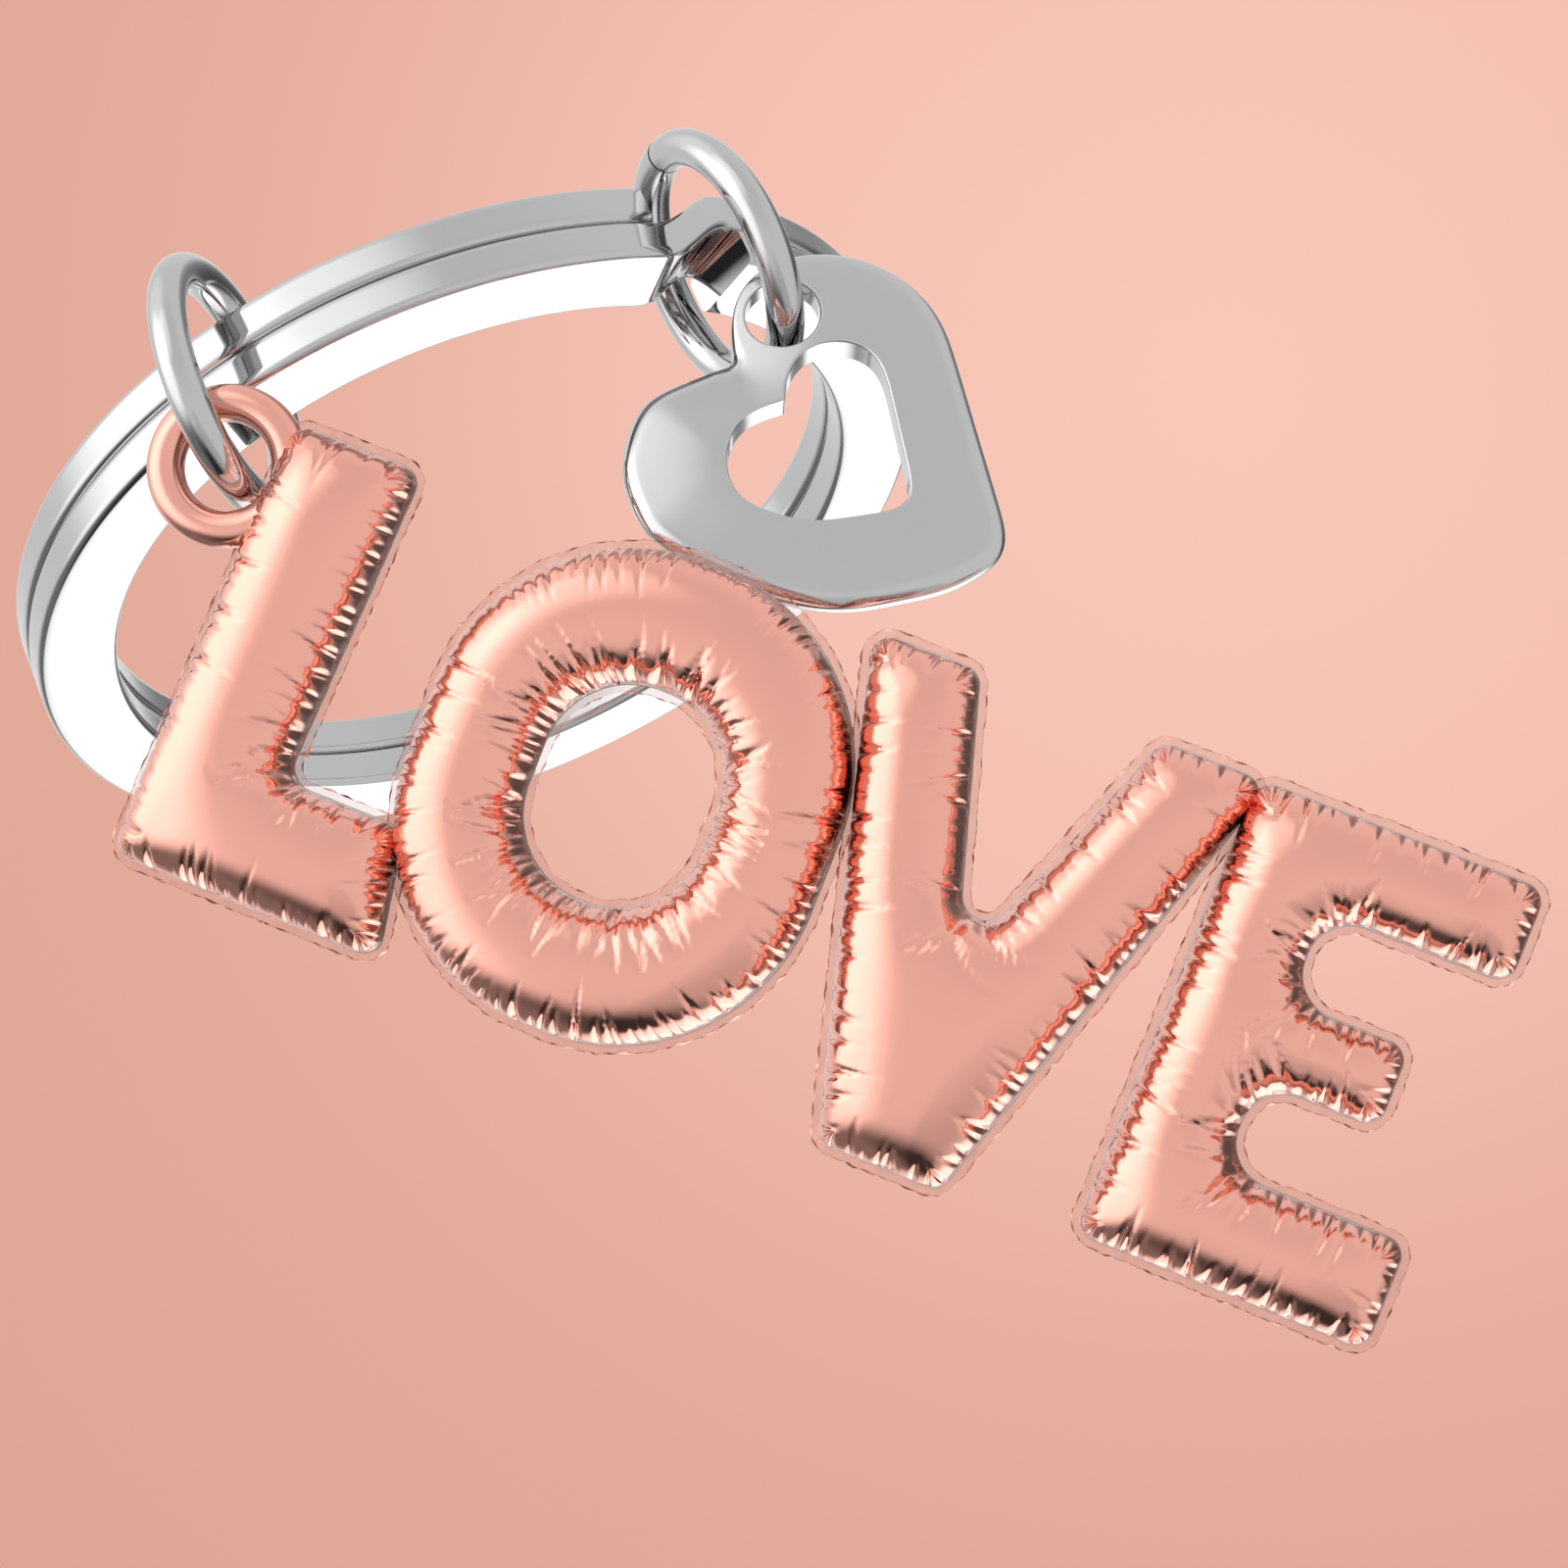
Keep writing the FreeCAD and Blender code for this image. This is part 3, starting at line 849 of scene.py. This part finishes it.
def towards(compass, angle):
    """Unit way at an angle from the way back to the camera; compass 0 is right in view, 90 down, 180 left."""
    compass, angle = np.radians(compass), np.radians(angle)
    right, up, back = np.array(CAMERA_RIGHT), np.array(CAMERA_UP), np.array(CAMERA_BACK)
    sideways = right * np.cos(compass) - up * np.sin(compass)
    return tuple(sideways * np.sin(angle) + back * np.cos(angle))


def share_of(tree, direction, way, low, high):
    """Nought to one as the direction's share along a way goes from low to high, eased at both ends."""
    share = tree.add("ShaderNodeVectorMath", {"operation": "DOT_PRODUCT"}, {0: direction, 1: way}, out=1)
    return tree.add("ShaderNodeMapRange", {"interpolation_type": "SMOOTHSTEP"}, {0: share, 1: low, 2: high})


STUDIO_LEVEL = 0.85
PANEL_DIM = 0.10
LEAST_LEVEL = 0.04
# soft patches of the studio: compass, angle, outer and inner reach in degrees, and light added
STUDIO_PATCHES = [
    (184, 68, 46, 20, 0.80),
    (215, 85, 50, 15, 0.30),
    (72, 122, 36, 20, 1.30),
    (114, 92, 58, 26, -0.62),
    (85, 62, 48, 15, -0.16),
    (20, 128, 50, 15, -0.22),
    (270, 45, 50, 10, -0.08),
    (236, 54, 28, 8, 0.45),
    (350, 132, 40, 22, -0.52),
]


def studio():
    """World: a rose backdrop for the camera and a white and grey studio for the metal to mirror."""
    world = bpy.data.worlds.new("rose_studio")
    bpy.context.scene.world = world
    tree = Tree(world)
    tree.nodes.clear()
    direction = tree.add("ShaderNodeTexCoord", out=0)
    level = STUDIO_LEVEL
    for compass, angle, outer, inner, light in STUDIO_PATCHES:
        low, high = np.cos(np.radians((outer, inner)))
        level = share_of(tree, direction, towards(compass, angle), low, high) * light + level
    side = share_of(tree, direction, towards(135, 90), 0.0, 0.04)
    other_side = share_of(tree, direction, towards(18, 90), 0.0, 0.04)
    panel = side * other_side * share_of(tree, direction, CAMERA_BACK, 0.985, 0.96)
    level = level - panel * PANEL_DIM
    level = tree.add("ShaderNodeMath", {"operation": "MAXIMUM"}, {0: level, 1: LEAST_LEVEL})
    grey = tree.add("ShaderNodeCombineColor", {}, {0: level, 1: level, 2: level})
    away = tree.add(
        "ShaderNodeVectorMath", {"operation": "DISTANCE"}, {0: direction, 1: bright_spot()}, out=1)
    rose = tree.add("ShaderNodeValToRGB", {"stops": ROSE_STOPS}, {0: away * (1 / ROSE_REACH)})
    camera = tree.add("ShaderNodeLightPath", out=0)
    colour = tree.add("ShaderNodeMix", {"data_type": "RGBA"}, {0: camera, 6: grey, 7: rose}, out=2)
    background = tree.add("ShaderNodeBackground", {}, {"Color": colour, "Strength": 1.0})
    tree.add("ShaderNodeOutputWorld", {}, {"Surface": background})


def linear(red, green, blue):
    """Display colour, nought to 255, as linear light."""
    return tuple(((v / 255 + 0.055) / 1.055) ** 2.4 for v in (red, green, blue))


# backdrop colour for the camera by distance from its bright spot, out to the reach: painted light, lightest
# at the spot and darker away from it
ROSE_REACH = 0.42
ROSE_STOPS = [
    (0.0, linear(249, 200, 185)), (0.16, linear(247, 197, 182)), (0.33, linear(243, 191, 176)),
    (0.55, linear(231, 175, 159)), (0.68, linear(226, 170, 153)), (1.0, linear(222, 165, 148))]


def bright_spot():
    """Unit way to the backdrop's brightest spot, up and to the right in view."""
    right, up, back = np.array(CAMERA_RIGHT), np.array(CAMERA_UP), np.array(CAMERA_BACK)
    return tuple(unit(right * 0.105 + up * 0.096 - back))


def camera():
    data = bpy.data.cameras.new("camera")
    data.lens = CAMERA_LENS
    data.sensor_width = 36.0
    data.clip_start = 0.01
    item = bpy.data.objects.new("camera", data)
    bpy.context.scene.collection.objects.link(item)
    turn = Matrix((CAMERA_RIGHT, CAMERA_UP, CAMERA_BACK)).transposed()
    item.matrix_world = Matrix.Translation(Vector(CAMERA_AT) * MM) @ turn.to_4x4()
    bpy.context.scene.camera = item


def main():
    bpy.context.scene.view_settings.view_transform = "Standard"
    steel = polished_metal("polished_steel", (0.57, 0.57, 0.575), 0.06, 0.02)
    silver = polished_metal("polished_silver", (0.58, 0.58, 0.585), 0.06, 0.02)
    rose_gold = polished_metal("rose_gold", (0.95, 0.46, 0.37), 0.13, 0.03)
    film = seam_film()
    # creased band beside the seam: a greyer, slightly darker metal, painted shade and reflection of its
    # puckers
    crease_shade = polished_metal("seam_crease_painted_shade", (0.66, 0.50, 0.46), 0.12, 0.03)
    split_ring(steel)
    jump_ring("charm_jump_ring_polished", "charm_jump_ring", CHARM_LINK_FACES, CHARM_LINK_SLIT, steel,
              "charm_link")
    jump_ring("heart_jump_ring_polished", "heart_jump_ring", HEART_LINK_FACES, HEART_LINK_SLIT, steel,
              "heart_link")
    letters((rose_gold, film, crease_shade))
    heart_tag(silver)
    studio()
    camera()


main()
